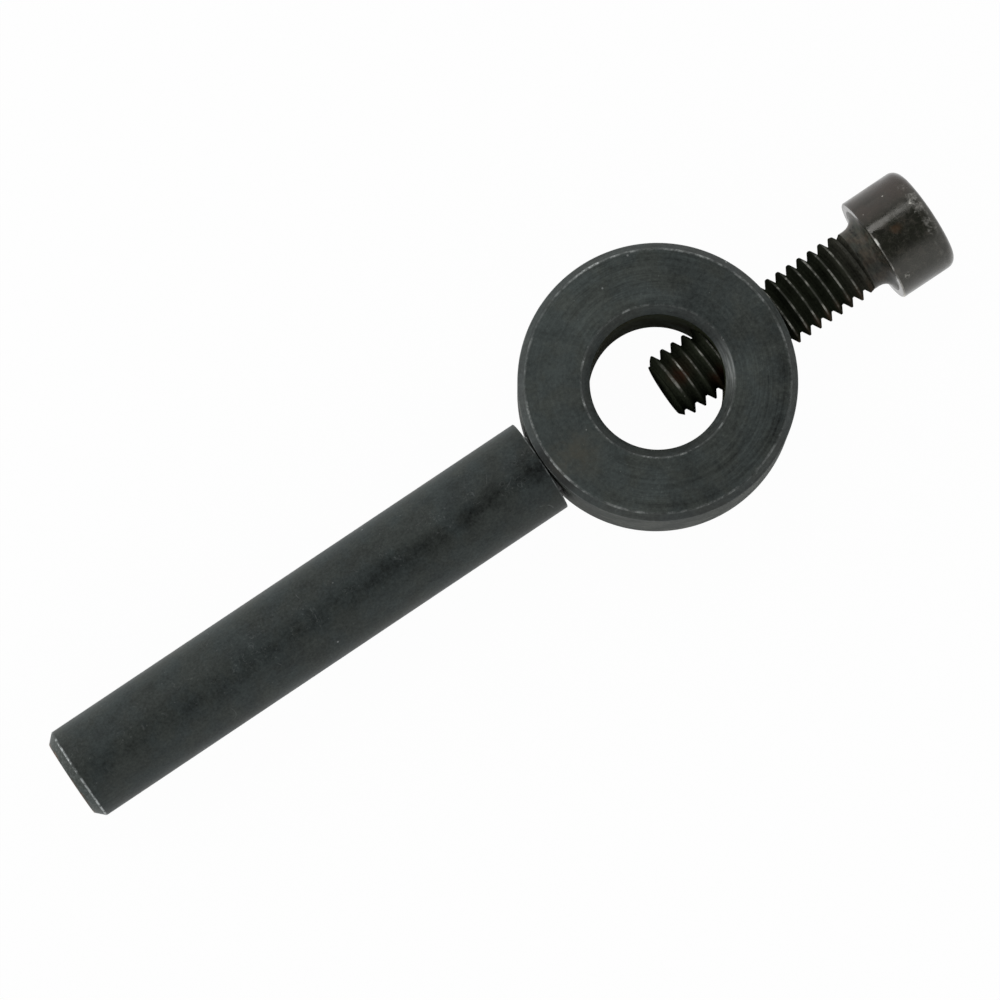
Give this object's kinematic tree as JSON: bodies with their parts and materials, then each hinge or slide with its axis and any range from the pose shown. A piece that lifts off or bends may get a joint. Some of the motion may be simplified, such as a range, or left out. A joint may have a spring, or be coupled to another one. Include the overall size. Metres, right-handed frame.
{
  "type": "lathe dog",
  "caption": "Straight-tail lathe dog: a thick chamfered ring with a round drive rod on one side and a socket cap screw on the other that clamps the work in the bore.",
  "frame": {"origin": "middle of the bore, halfway through the ring", "axes": "+Z along the bore, up from the face it rests on; +X from the drive rod towards the clamp screw"},
  "size_m": [0.1138, 0.031, 0.0126],
  "materials": {
    "ring_steel": "black oxide over fine turning marks",
    "rod_steel": "satin black oxide, mottled",
    "screw_steel": "oiled black oxide"
  },
  "bodies": {
    "carrier": {"carrier_ring": "ring_steel", "drive_rod": "rod_steel"},
    "screw": {"clamp_screw": "screw_steel"}
  },
  "joints": [
    {"name": "screw_travel", "type": "slide", "parent": "carrier", "child": "screw", "axis": [1, 0, 0], "range_m": [-0.00564, 0.00705]}
  ]
}
